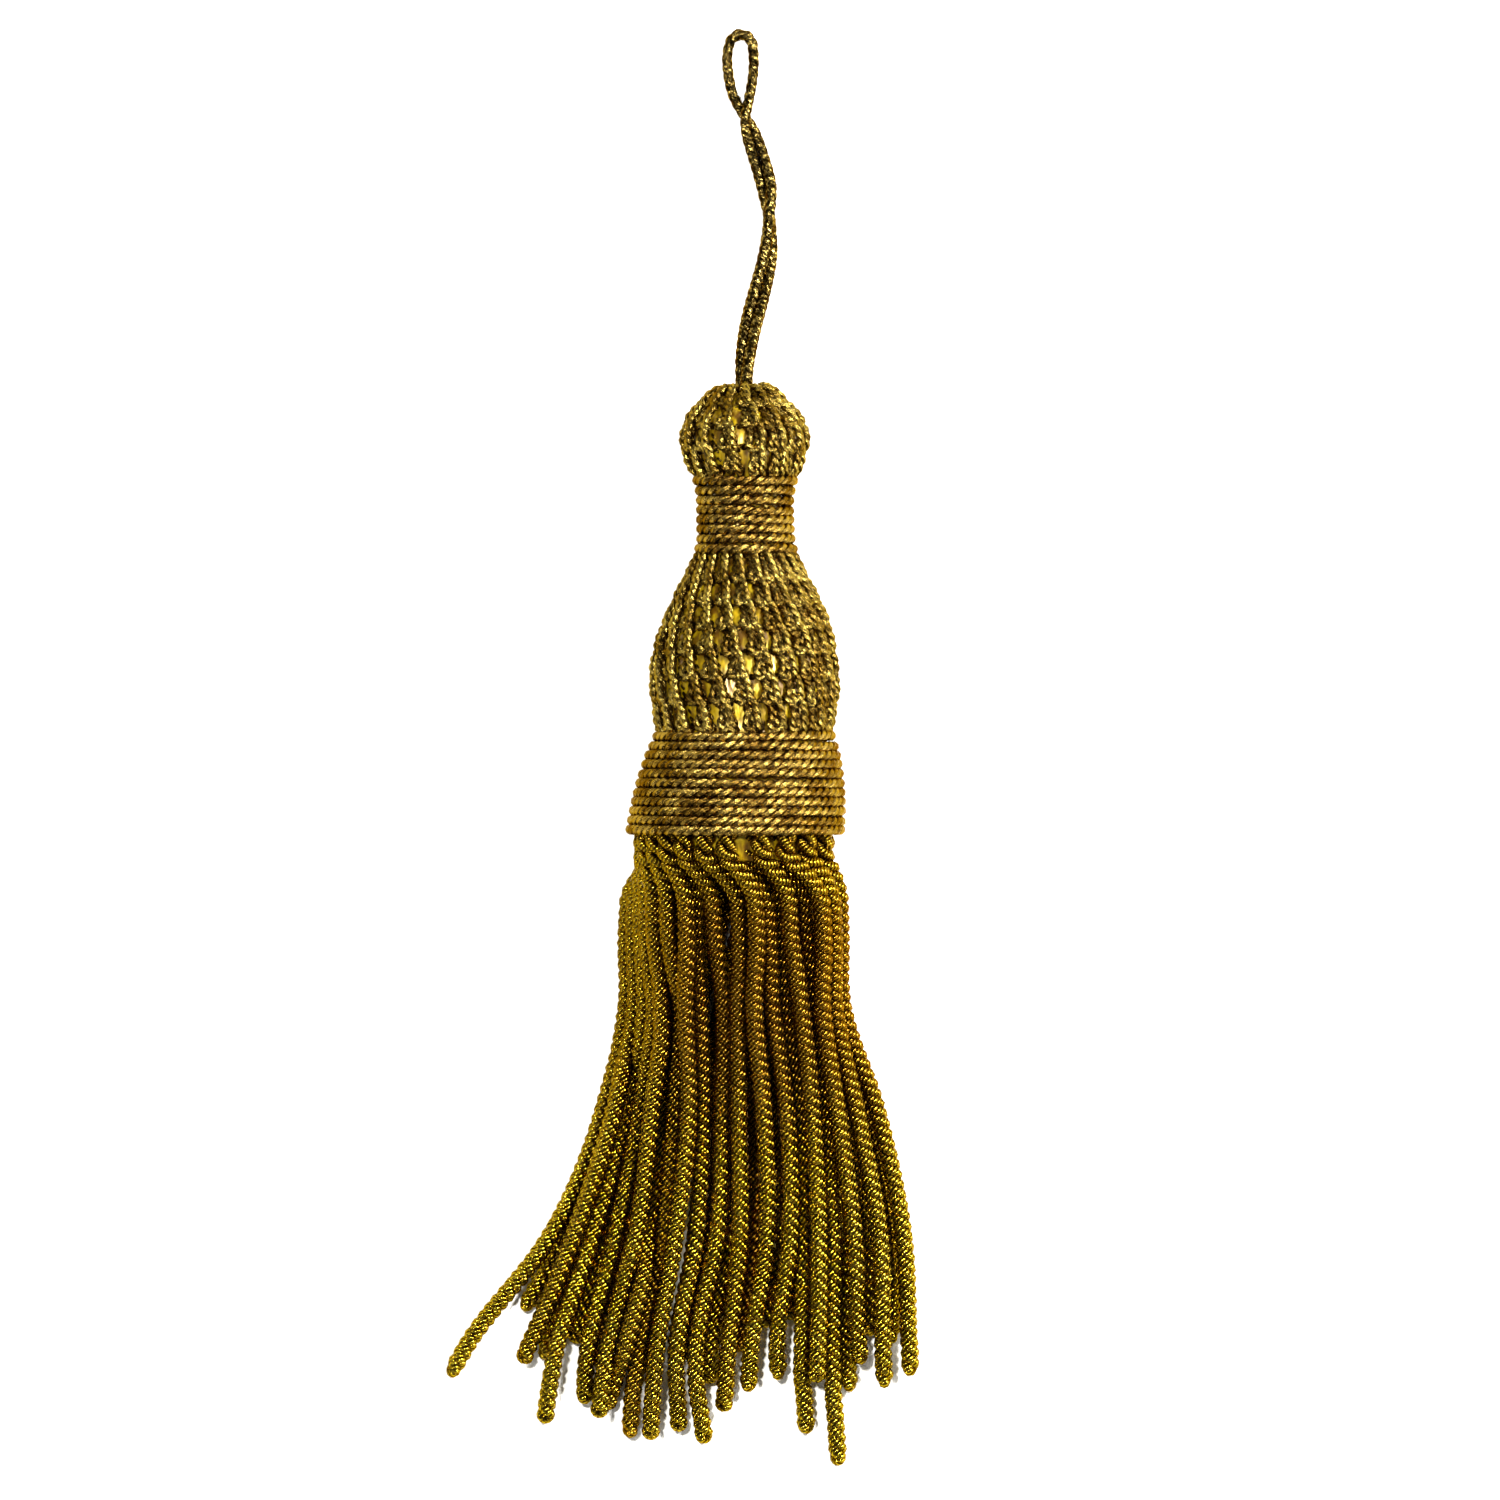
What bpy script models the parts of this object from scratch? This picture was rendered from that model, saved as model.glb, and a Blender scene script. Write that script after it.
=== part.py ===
# Gold bullion tassel, lying on its back: X to the side, Y towards the cord's eye, Z up from the surface.
# The head is a turned mould covered by nets and windings. The skirt is twisted strands fused to a heading band.

import math

import bmesh
import bpy
import numpy as np

MM = 0.001

# Clearances and walls, in millimetres
GAP = 0.3
WALL = 1.0
CORE_DEPTH = 1.35
PRESS = 0.3

# The mould's outer surface: distance along Y, radius, sideways place of its centre
MOULD_SECTIONS = [
    # along, radius, centre
    (67.8, 2.2, 7.8),
    (66.6, 4.2, 7.8),
    (65.2, 6.0, 7.8),
    (63.8, 7.35, 7.8),
    (62.0, 8.05, 7.8),
    (59.8, 8.05, 7.8),
    (57.8, 7.5, 7.8),
    (56.0, 6.7, 7.9),
    (54.2, 6.25, 7.9),
    (50.5, 6.15, 7.9),
    (47.8, 6.3, 8.0),
    (46.2, 6.8, 8.0),
    (41.8, 8.95, 8.0),
    (38.1, 10.6, 8.0),
    (34.9, 11.5, 7.9),
    (32.0, 11.9, 7.8),
    (29.2, 11.9, 7.8),
    (26.2, 11.45, 7.8),
    (24.6, 11.3, 7.8),
    (21.7, 12.2, 7.6),
    (17.4, 13.15, 7.2),
    (14.2, 13.55, 6.9),
    (11.6, 13.7, 6.6),
]
KNOB_TOP = 67.8
NECK_TOP = 56.3
BELLY_TOP = 46.6
COLLAR_TOP = 24.7
COLLAR_END = 11.6

# The mould lies on its belly and on its collar's edge
BELLY_REST = (30.8, 11.9 - PRESS)
COLLAR_REST = (COLLAR_END, 13.7 - PRESS)

# Nets: stitches round, rows, height of the stitches, angle of the ribs to the axis in degrees
KNOB_NET = {"stitches": 14, "rows": 4, "relief": 0.7, "lean": 12.0}
BELLY_NET = {"stitches": 21, "rows": 7, "relief": 0.75, "lean": 22.0}
HOOK_HEIGHT = 0.4
NECK_TURNS = 8
COLLAR_TURNS = 11
TURN_RELIEF = 0.4
CORD_HOLE = 1.75
CORE_TOP = KNOB_TOP - 0.6
EDGE = 0.6
NET_WALL_TOP = KNOB_TOP - 0.9

# Half angles, in radians, of the flat underside and of the stretch over which the relief comes back
FLAT_TURN = 0.32
RISE_TURN = 0.25

# Heading band and strands
BAND_TOP = COLLAR_END + 5.0
BAND_END = COLLAR_END - 2.8
BAND_OUTER = 11.9
BAND_INNER = 8.9
OUTER_RING = 11.4
INNER_RING = 9.3
STRAND_SPACE = 2.5
STRAND_SIDE = 1.65
STRAND_ROOT = 0.8
STRAND_TIP = 0.55
STRAND_STRAIGHT = 2.5
STRAND_START = 0.2
STRAND_END_LENGTH = 1.5

# The strands that lie on top. Root angle in degrees round the mould, ring 0 outer or 1 inner, then the sideways
# place at each station below the collar, and the tip's place and distance.
STATIONS = (12.0, 20.8, 34.5, 50.8, 64.5)
TOP_STRANDS = [
    # angle, ring, at12, at21, at34, at51, at64, tip, reach
    (215, 0, -6.9, -6.9, -9.8, -16.8, -27.2, -29.2, 68.3),
    (202, 0, -6.0, -5.8, -8.4, -13.8, -19.3, -20.2, 66.5),
    (189, 0, -5.1, -4.6, -6.8, -11.4, -15.8, -17.3, 74.1),
    (176, 0, -4.3, -3.4, -5.3, -8.4, -11.8, -12.2, 71.7),
    (163, 0, -3.4, -2.3, -3.8, -5.8, -9.2, -10.5, 73.3),
    (156, 1, -2.6, -1.3, -2.3, -4.1, -7.2, -9.6, 72.3),
    (149, 0, -1.7, -0.5, -1.0, -2.5, -5.5, -6.6, 75.8),
    (137, 0, 0.6, 0.4, 0.8, -0.9, -3.2, -4.0, 76.2),
    (130, 1, 1.9, 2.3, 2.6, 1.6, -0.6, -0.4, 75.0),
    (123, 0, 4.0, 5.2, 5.0, 4.3, 1.6, 2.9, 76.7),
    (109, 0, 7.2, 7.1, 7.1, 7.2, 5.8, 5.1, 72.5),
    (95, 0, 9.3, 9.0, 10.2, 10.6, 8.6, 8.3, 70.1),
    (92, 1, 10.8, 11.2, 13.1, 13.5, 11.9, 12.1, 68.5),
    (78, 1, 12.1, 12.8, 14.8, 15.1, 15.1, 15.6, 75.4),
    (73, 0, 13.5, 14.8, 16.3, 17.1, 17.0, 16.8, 68.9),
    (64, 1, 15.5, 16.3, 17.9, 19.0, 18.8, 19.6, 79.35),
    (56, 0, 17.6, 17.5, 19.4, 21.6, 22.2, 22.5, 66.6),
    (38, 0, 18.9, 19.0, 21.8, 24.8, 25.2, 25.4, 69.7),
    (14, 0, 19.8, 20.0, 24.4, 27.8, 28.4, 28.6, 68.2),
]
# The strands underneath: root angle, ring, the top strands that each follows or lies between, its reach
UNDER_STRANDS = [
    # angle, ring, follows, reach
    (228, 0, 0.6, 60.0),
    (235, 1, 1.6, 66.0),
    (241, 0, 2.6, 64.0),
    (254, 0, 3.6, 67.0),
    (262, 1, 5.0, 63.0),
    (268, 0, 6.5, 68.0),
    (281, 0, 8.4, 66.0),
    (289, 1, 9.5, 69.0),
    (295, 0, 10.5, 65.0),
    (308, 0, 11.5, 62.0),
    (316, 1, 12.5, 61.0),
    (322, 0, 13.6, 67.0),
    (335, 0, 15.4, 70.0),
    (343, 1, 16.5, 63.0),
    (350, 0, 17.5, 64.0),
]
STRAND_STEP = 2.5

# How a strand leaves its root: places by which it has spread by a share, and over which an under strand joins its own
SPREAD_PLACE = 6.0
SPREAD_SHARE = 0.75
LAST_STATION = 65.5
UNDER_FROM = 2.0
UNDER_OVER = 30.0

# How the strands settle: drop from the root, fall, stiffness and the pull to their sideways places
ARCH_REACH = 58.0
FREE_FROM = 3.0
FREE_OVER = 10.0
TIP_FALL = 60.0
TIP_OVER = 10.0
TOP_RAISE = 0.9 * STRAND_SPACE
SETTLE_ROUNDS = 320
SETTLE_FALL = 0.02
TIP_WEIGHT = 0.12
STIFFNESS = 0.22
TOP_PULL = 0.25
UNDER_PULL = 0.02

# The hanging cord's route, from the head up to the eye and back, in millimetres
CORD_DIAMETER = 1.1
CORD_ROUTE = [
    (7.45, 67.6, 7.55), (7.35, 69.5, 7.35), (7.5, 72.3, 6.5), (7.95, 75.4, 5.1), (8.75, 78.5, 3.7),
    (9.6, 81.6, 2.55), (10.4, 84.7, 1.95), (10.7, 86.6, 1.9), (10.9, 89.1, 1.95), (11.1, 90.9, 1.8),
    (11.15, 92.8, 1.45), (10.6, 95.3, 1.0), (9.85, 97.8, 0.6), (8.95, 99.9, 0.57), (7.8, 101.6, 0.57),
    (6.4, 104.1, 0.57), (5.8, 106.7, 0.57), (5.7, 109.7, 0.57), (6.3, 111.4, 0.57), (7.4, 112.0, 0.57),
    (8.5, 111.4, 0.57), (8.95, 109.2, 0.57), (8.85, 106.4, 0.6), (8.4, 103.8, 1.2), (7.95, 101.6, 1.95),
    (7.95, 99.9, 1.65), (8.45, 97.8, 0.95), (9.25, 95.3, 0.6), (9.95, 92.8, 0.57), (10.45, 90.9, 0.57),
    (10.9, 89.1, 0.57), (11.15, 86.6, 0.57), (11.25, 84.7, 0.8), (10.8, 81.6, 1.85), (10.15, 78.5, 3.45),
    (9.3, 75.4, 5.45), (8.65, 72.3, 7.3), (8.15, 69.5, 8.45), (8.05, 67.6, 8.75),
]
CORD_STEPS = 78


def along(table, place, column):
    """A smooth value read from a table whose first column falls or rises steadily."""
    keys = np.array([row[0] for row in table], float)
    values = np.array([row[column] for row in table], float)
    if keys[0] > keys[-1]:
        keys, values = keys[::-1], values[::-1]
    slopes = np.gradient(values, keys)
    place = np.clip(place, keys[0], keys[-1])
    i = np.clip(np.searchsorted(keys, place) - 1, 0, len(keys) - 2)
    span = keys[i + 1] - keys[i]
    t = (place - keys[i]) / span
    rise = values[i] * (1 + 2 * t) * (1 - t) ** 2 + values[i + 1] * t * t * (3 - 2 * t)
    return rise + span * (slopes[i] * t * (1 - t) ** 2 - slopes[i + 1] * t * t * (1 - t))


def radiusAt(place):
    return float(along(MOULD_SECTIONS, place, 1))


def centreAt(place):
    return float(along(MOULD_SECTIONS, place, 2))


def heightAt(place):
    """Height of the mould's axis, a straight line over its two rests."""
    slope = (COLLAR_REST[1] - BELLY_REST[1]) / (COLLAR_REST[0] - BELLY_REST[0])
    return BELLY_REST[1] + slope * (place - BELLY_REST[0])


def makeMaterial(name, colour, roughness, metallic):
    material = bpy.data.materials.new(name)
    material.use_nodes = True
    shader = material.node_tree.nodes["Principled BSDF"]
    shader.inputs["Base Color"].default_value = (*colour, 1.0)
    shader.inputs["Roughness"].default_value = roughness
    shader.inputs["Metallic"].default_value = metallic
    return material


def addObject(name, mesh, material, collection):
    mesh.materials.clear()
    mesh.materials.append(material)
    made = bpy.data.objects.new(name, mesh)
    collection.objects.link(made)
    return made


def turned(name, profile, columns, place, material, collection):
    """Spins a closed profile of (radius, along) round Y, then puts each point in place."""
    shape = bmesh.new()
    corners = [shape.verts.new((radius, distance, 0.0)) for radius, distance in profile]
    edges = [shape.edges.new((corners[i - 1], corners[i])) for i in range(len(corners))]
    bmesh.ops.spin(
        shape, geom=corners + edges, cent=(0, 0, 0), axis=(0, 1, 0), angle=math.tau, steps=columns, use_merge=True,
    )
    bmesh.ops.remove_doubles(shape, verts=shape.verts, dist=1e-5)
    bmesh.ops.recalc_face_normals(shape, faces=shape.faces)
    for corner in shape.verts:
        x, y, z = corner.co
        turn = math.atan2(z, x) % math.tau
        corner.co = place(math.hypot(x, z), y, turn)
    bmesh.ops.scale(shape, vec=(MM, MM, MM), verts=shape.verts)
    mesh = bpy.data.meshes.new(name)
    shape.to_mesh(mesh)
    shape.free()
    mesh.shade_smooth()
    mesh.set_sharp_from_angle(angle=math.radians(50))
    return addObject(name, mesh, material, collection)


def wallProfile(top, end, rows, innerTop, bore=0.0):
    """A sleeve's closed profile: the outer side in even rows, the inner side at the mould's own sections."""
    outer = [(radiusAt(y), y) for y in np.linspace(top, end, rows + 1)]
    levels = [row[0] for row in MOULD_SECTIONS if end + EDGE < row[0] < innerTop - EDGE]
    inner = [(max(radiusAt(y) - WALL, bore), y) for y in [innerTop, *levels, end]]
    return outer + inner[::-1]


def floorShare(turn):
    """1 all round, falling to 0 where the surface faces the floor, so that pressed work lies flat there."""
    off = abs((turn - 1.5 * math.pi + math.pi) % math.tau - math.pi)
    return min(max((off - FLAT_TURN) / RISE_TURN, 0.0), 1.0)


def lay(radius, place, turn):
    x = centreAt(place) + radius * math.cos(turn)
    z = heightAt(place) + radius * math.sin(turn)
    return x, place, max(z, 0.0)


def makeNet(name, net, top, end, innerTop, bore, material, collection):
    """A looped net whose stitches stand up as leaning ribs joined by a hook at each row."""
    columns = net["stitches"] * 2
    rows = net["rows"] * 2
    middle = radiusAt((top + end) / 2)
    lean = math.tan(math.radians(net["lean"])) / middle

    def place(radius, y, turn):
        column = round(turn / math.tau * columns)
        row = round((top - y) / (top - end) * rows)
        outer = radius > radiusAt(y) - WALL / 2
        if outer and 0 < row < rows:
            height = 1.0 if column % 2 == 0 else (HOOK_HEIGHT if row % 2 == 0 else 0.0)
            radius -= net["relief"] * (1.0 - height) * floorShare(turn + lean * (top - y))
        return lay(radius, y, turn + lean * (top - y))

    return turned(name, wallProfile(top, end, rows, innerTop, bore), columns, place, material, collection)


def makeWinding(name, turns, top, end, columns, material, collection):
    """A sleeve of cord turns, each one a ridge."""
    rows = turns * 2

    def place(radius, y, turn):
        row = round((top - y) / (top - end) * rows)
        outer = radius > radiusAt(y) - WALL / 2
        if outer and row % 2 == 0:
            radius -= TURN_RELIEF * floorShare(turn)
        return lay(radius, y, turn)

    return turned(name, wallProfile(top, end, rows, top), columns, place, material, collection)


def makeCore(material, collection):
    """The satin-covered mould inside the nets and windings, drawn in where the heading band goes."""
    end = COLLAR_END + 0.4
    levels = [row[0] for row in MOULD_SECTIONS if BAND_TOP + GAP < row[0] < CORE_TOP - EDGE]
    profile = [(0.0, CORE_TOP), (CORD_HOLE, CORE_TOP)]
    profile += [(max(radiusAt(y) - CORE_DEPTH, CORD_HOLE), y) for y in levels]
    shoulder = BAND_TOP + GAP
    foot = BAND_INNER - GAP
    profile += [(radiusAt(shoulder) - CORE_DEPTH, shoulder), (foot, shoulder), (foot, end), (0.0, end)]
    return turned("mould_core", profile, 24, lay, material, collection)


def strandTargets():
    """Sideways targets, heights at the root and reach of every strand, at each station along the skirt."""
    longest = max(row[8] for row in TOP_STRANDS)
    places = np.arange(0.0, longest + STRAND_STEP, STRAND_STEP)
    rootX = centreAt(COLLAR_END)
    rootZ = heightAt(COLLAR_END)
    rings = (OUTER_RING, INNER_RING)
    targets, roots, reaches, under = [], [], [], []
    straight = places <= STRAND_STRAIGHT
    for angle, ring, *marks in TOP_STRANDS:
        start = rootX + rings[ring] * math.cos(math.radians(angle))
        spread = start + SPREAD_SHARE * (marks[0] - start)
        ending = (max(marks[6], LAST_STATION), marks[5])
        table = [(0.0, start), (STRAND_STRAIGHT, start), (SPREAD_PLACE, spread), *zip(STATIONS, marks[:5]), ending]
        targets.append(np.where(straight, start, along(table, places, 1)))
        roots.append(rootZ + rings[ring] * math.sin(math.radians(angle)))
        reaches.append(marks[6])
        under.append(False)
    for angle, ring, follows, reach in UNDER_STRANDS:
        start = rootX + rings[ring] * math.cos(math.radians(angle))
        share = np.clip((places - UNDER_FROM) / UNDER_OVER, 0, 1)
        share = share * share * (3 - 2 * share)
        before = int(follows)
        between = follows - before
        goal = (1 - between) * targets[before] + between * targets[before + 1]
        targets.append(start + (goal - start) * share)
        roots.append(rootZ + rings[ring] * math.sin(math.radians(angle)))
        reaches.append(reach)
        under.append(True)
    return places, np.array(targets), np.array(roots), np.array(reaches), np.array(under)


def strandPaths():
    """The strands settled on the surface and on each other, a strand's width apart."""
    places, targets, roots, reaches, under = strandTargets()
    x = targets.copy()
    rest = STRAND_SPACE / 2
    share = np.clip((places - STRAND_STRAIGHT) / ARCH_REACH, 0, 1)[None, :]
    drop = (1 - share) ** 2 * (1 + 2 * share) ** 0.5
    ending = np.clip((places - TIP_FALL) / TIP_OVER, 0, 1)[None, :]
    final = np.where(under, rest, rest + TOP_RAISE)[:, None]
    final = final + (rest - final) * ending
    z = roots[:, None] * drop + final * (1 - drop)
    free = np.clip((places - FREE_FROM) / FREE_OVER, 0, 1)[None, :]
    there = places[None, :] < reaches[:, None] + STRAND_STEP
    pull = np.where(under, UNDER_PULL, TOP_PULL)[:, None]
    first, second = np.triu_indices(len(roots), 1)
    for turn in range(SETTLE_ROUNDS):
        left = 1 - turn / SETTLE_ROUNDS
        z -= (SETTLE_FALL + TIP_WEIGHT * ending) * left * free
        x += pull * (targets - x) * free
        for values in (x - targets, z):
            bend = np.zeros_like(values)
            bend[:, 1:-1] = values[:, :-2] + values[:, 2:] - 2 * values[:, 1:-1]
            change = STIFFNESS * bend * free * (0.3 + 0.7 * left)
            if values is z:
                z += change
            else:
                x += change
        slope = np.gradient(x, places, axis=1)
        squeeze = 1 / np.sqrt(1 + (slope[first] / 2 + slope[second] / 2) ** 2)
        across = (x[first] - x[second]) * squeeze
        rise = z[first] - z[second]
        apart = np.hypot(across, rise) + 1e-6
        both = there[first] & there[second]
        push = np.where(both, np.maximum(STRAND_SPACE - apart, 0.0), 0.0) * 0.5 * free
        for index, sign in ((first, 1.0), (second, -1.0)):
            np.add.at(x, index, sign * push * across / apart * 0.5)
            np.add.at(z, index, sign * push * rise / apart)
        z = np.maximum(z, rest)
    return places, x, z, reaches


def makeStrand(name, places, x, z, reach, material, collection):
    """One strand as a square tube that lies level, narrower at its tip."""
    keep = [i for i in range(len(places)) if i % 2 == 0 and 0 < places[i] < reach - STRAND_END_LENGTH]
    spots = [STRAND_START, STRAND_STRAIGHT, *places[keep], reach]
    side = np.interp(spots, places, x)
    height = np.interp(spots, places, z) - STRAND_SPACE / 2 + STRAND_SIDE / 2
    curve = bpy.data.curves.new(name, "CURVE")
    curve.dimensions = "3D"
    curve.twist_mode = "Z_UP"
    curve.bevel_depth = STRAND_SIDE / math.sqrt(2) * MM
    curve.bevel_resolution = 0
    curve.use_fill_caps = True
    spline = curve.splines.new("POLY")
    spline.points.add(len(spots) - 1)
    for point, spot, px, pz in zip(spline.points, spots, side, height):
        point.co = (px * MM, (COLLAR_END - spot) * MM, pz * MM, 1.0)
        point.tilt = math.pi / 4
    spline.points[0].radius = spline.points[1].radius = STRAND_ROOT
    spline.points[-1].radius = STRAND_TIP
    made = bpy.data.objects.new(name, curve)
    collection.objects.link(made)
    return made


def meshOf(made):
    """The object's shape as a plain closed mesh, its caps joined to its sides."""
    bpy.context.view_layer.update()
    seen = made.evaluated_get(bpy.context.evaluated_depsgraph_get())
    mesh = bpy.data.meshes.new_from_object(seen)
    mesh.transform(made.matrix_world)
    return mesh


def makeSkirt(material, collection, guides):
    """All strands joined to the heading band that sits in the collar's mouth."""
    places, x, z, reaches = strandPaths()
    joined = bmesh.new()
    for number, reach in enumerate(reaches):
        strand = makeStrand(f"strand_{number}", places, x[number], z[number], reach, material, guides)
        mesh = meshOf(strand)
        joined.from_mesh(mesh)
        bpy.data.meshes.remove(mesh)
        bpy.data.curves.remove(strand.data)
    bmesh.ops.remove_doubles(joined, verts=joined.verts, dist=1e-7)
    strands = bpy.data.meshes.new("strands")
    joined.to_mesh(strands)
    joined.free()
    cutter = addObject("strands_guide", strands, material, guides)
    cutter.hide_render = True
    cutter.display_type = "WIRE"
    profile = [(BAND_OUTER, BAND_TOP), (BAND_OUTER, BAND_END), (BAND_INNER, BAND_END), (BAND_INNER, BAND_TOP)]
    skirt = turned("bullion_skirt", profile, 36, lay, material, collection)
    union = skirt.modifiers.new("join_strands", "BOOLEAN")
    union.operation = "UNION"
    union.solver = "EXACT"
    union.use_self = True
    union.object = cutter
    return skirt


def makeHangingCord(material, collection):
    """The doubled cord with its open eye, one smooth curve through the route's points."""
    route = np.array(CORD_ROUTE)
    chord = np.r_[0.0, np.cumsum(np.linalg.norm(np.diff(route, axis=0), axis=1))]
    spots = np.linspace(0.0, chord[-1], CORD_STEPS)
    path = [along([(c, *p) for c, p in zip(chord, route)], spots, column) for column in (1, 2, 3)]
    curve = bpy.data.curves.new("hanging_cord", "CURVE")
    curve.dimensions = "3D"
    curve.bevel_depth = CORD_DIAMETER / 2 * MM
    curve.bevel_resolution = 2
    curve.use_fill_caps = True
    curve.materials.append(material)
    spline = curve.splines.new("POLY")
    spline.points.add(CORD_STEPS - 1)
    for point, x, y, z in zip(spline.points, *path):
        point.co = (x * MM, y * MM, max(z, CORD_DIAMETER / 2) * MM, 1.0)
    made = bpy.data.objects.new("hanging_cord", curve)
    collection.objects.link(made)
    return made


def clearScene():
    for old in list(bpy.data.objects):
        bpy.data.objects.remove(old, do_unlink=True)


def main():
    clearScene()
    tassel = bpy.data.collections.new("bullion_tassel")
    guides = bpy.data.collections.new("guides")
    bpy.context.scene.collection.children.link(tassel)
    bpy.context.scene.collection.children.link(guides)
    satin = makeMaterial("yellow_satin", (0.72, 0.45, 0.03), 0.3, 0.6)
    makeCore(satin, tassel)
    knobThread = makeMaterial("knob_thread", (0.42, 0.3, 0.1), 0.45, 0.7)
    makeNet("knob_net", KNOB_NET, KNOB_TOP, NECK_TOP + GAP / 2, NET_WALL_TOP, CORD_HOLE, knobThread, tassel)
    neckCord = makeMaterial("neck_cord", (0.5, 0.38, 0.16), 0.45, 0.7)
    makeWinding("neck_winding", NECK_TURNS, NECK_TOP - GAP / 2, BELLY_TOP + GAP / 2, 24, neckCord, tassel)
    bellyThread = makeMaterial("belly_thread", (0.46, 0.33, 0.1), 0.42, 0.7)
    makeNet("belly_net", BELLY_NET, BELLY_TOP - GAP / 2, COLLAR_TOP + GAP / 2, BELLY_TOP - GAP / 2, 0.0,
            bellyThread, tassel)
    collarCord = makeMaterial("collar_cord", (0.55, 0.42, 0.18), 0.45, 0.7)
    makeWinding("collar_winding", COLLAR_TURNS, COLLAR_TOP - GAP / 2, COLLAR_END, 36, collarCord, tassel)
    bullion = makeMaterial("gold_bullion", (0.48, 0.3, 0.05), 0.38, 0.8)
    makeSkirt(bullion, tassel, guides)
    gimp = makeMaterial("gimp_cord", (0.36, 0.27, 0.09), 0.45, 0.7)
    makeHangingCord(gimp, tassel)


main()
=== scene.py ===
import math

import bmesh
import bpy
import numpy as np
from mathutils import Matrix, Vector


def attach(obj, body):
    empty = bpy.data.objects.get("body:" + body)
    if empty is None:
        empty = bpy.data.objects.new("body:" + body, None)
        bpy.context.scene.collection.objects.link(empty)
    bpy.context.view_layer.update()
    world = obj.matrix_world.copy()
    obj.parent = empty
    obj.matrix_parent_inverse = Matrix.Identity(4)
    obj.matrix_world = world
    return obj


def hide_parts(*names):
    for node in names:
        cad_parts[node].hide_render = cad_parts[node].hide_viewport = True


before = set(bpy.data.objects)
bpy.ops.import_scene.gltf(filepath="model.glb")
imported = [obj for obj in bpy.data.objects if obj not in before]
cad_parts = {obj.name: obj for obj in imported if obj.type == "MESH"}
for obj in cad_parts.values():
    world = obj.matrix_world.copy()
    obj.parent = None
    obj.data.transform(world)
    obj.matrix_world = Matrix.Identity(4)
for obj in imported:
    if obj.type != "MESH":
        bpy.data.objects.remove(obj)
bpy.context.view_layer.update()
mm = 0.001
scene = bpy.context.scene
scene.view_settings.view_transform = "Standard"

# The camera looks straight down at the middle of the photograph. Its reach is in metres
view = {"centre": (8.5, 22.1), "plane": 7.0, "width": 187.5, "lens": 400.0, "sensor": 36.0, "reach": 10.0}


def makeCamera():
    data = bpy.data.cameras.new("view")
    data.lens = view["lens"]
    data.sensor_width = view["sensor"]
    away = view["width"] * view["lens"] / view["sensor"]
    data.clip_end = view["reach"]
    made = bpy.data.objects.new("view", data)
    made.location = (view["centre"][0] * mm, view["centre"][1] * mm, (view["plane"] + away) * mm)
    scene.collection.objects.link(made)
    scene.camera = made


makeCamera()

# The hanging cord: three plies, drawn fuller from the head up to where the slimmer part begins
hanging = {
    "diameter": 1.1, "plies": 3, "ply": 0.47, "offset": 0.22, "turn": 3.6, "tone": 0.85, "steps": 78,
    "step": 0.2, "inside": 1.4, "inwards": 0.1, "rise": 0.2, "full": 0.25, "fullest": 84.0, "slimFrom": 100.0,
}
# Its route from the head up to the eye and back: x, y, z
cordRoute = [
    (7.45, 67.6, 7.55), (7.35, 69.5, 7.35), (7.5, 72.3, 6.5), (7.95, 75.4, 5.1), (8.75, 78.5, 3.7),
    (9.6, 81.6, 2.55), (10.4, 84.7, 1.95), (10.7, 86.6, 1.9), (10.9, 89.1, 1.95), (11.1, 90.9, 1.8),
    (11.15, 92.8, 1.45), (10.6, 95.3, 1.0), (9.85, 97.8, 0.6), (8.95, 99.9, 0.57), (7.8, 101.6, 0.57),
    (6.4, 104.1, 0.57), (5.8, 106.7, 0.57), (5.7, 109.7, 0.57), (6.3, 111.4, 0.57), (7.4, 112.0, 0.57),
    (8.5, 111.4, 0.57), (8.95, 109.2, 0.57), (8.85, 106.4, 0.6), (8.4, 103.8, 1.2), (7.95, 101.6, 1.95),
    (7.95, 99.9, 1.65), (8.45, 97.8, 0.95), (9.25, 95.3, 0.6), (9.95, 92.8, 0.57), (10.45, 90.9, 0.57),
    (10.9, 89.1, 0.57), (11.15, 86.6, 0.57), (11.25, 84.7, 0.8), (10.8, 81.6, 1.85), (10.15, 78.5, 3.45),
    (9.3, 75.4, 5.45), (8.65, 72.3, 7.3), (8.15, 69.5, 8.45), (8.05, 67.6, 8.75),
]


def along(table, place, column):  # a smooth value read from a table whose first column falls or rises
    keys = np.array([row[0] for row in table], float)
    values = np.array([row[column] for row in table], float)
    if keys[0] > keys[-1]:
        keys, values = keys[::-1], values[::-1]
    slopes = np.gradient(values, keys)
    place = np.clip(place, keys[0], keys[-1])
    i = np.clip(np.searchsorted(keys, place) - 1, 0, len(keys) - 2)
    span = keys[i + 1] - keys[i]
    t = (place - keys[i]) / span
    rise = values[i] * (1 + 2 * t) * (1 - t) ** 2 + values[i + 1] * t * t * (3 - 2 * t)
    return rise + span * (slopes[i] * t * (1 - t) ** 2 - slopes[i + 1] * t * t * (1 - t))


def smooth(value, low, high):  # 0 below low, 1 above high, with a soft change between
    t = np.clip((value - low) / (high - low), 0, 1)
    return t * t * (3 - 2 * t)


def lengths(points):  # how far along the line each point is
    return np.r_[0.0, np.cumsum(np.linalg.norm(np.diff(points[:, :3], axis=0), axis=1))]


def evened(points, step):  # the same line in even steps of its length, with any further columns carried along
    run = lengths(points)
    spots = np.linspace(0, run[-1], max(int(round(run[-1] / step)), 2) + 1)
    return np.stack([np.interp(spots, run, column) for column in points.T], axis=1)


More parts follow.
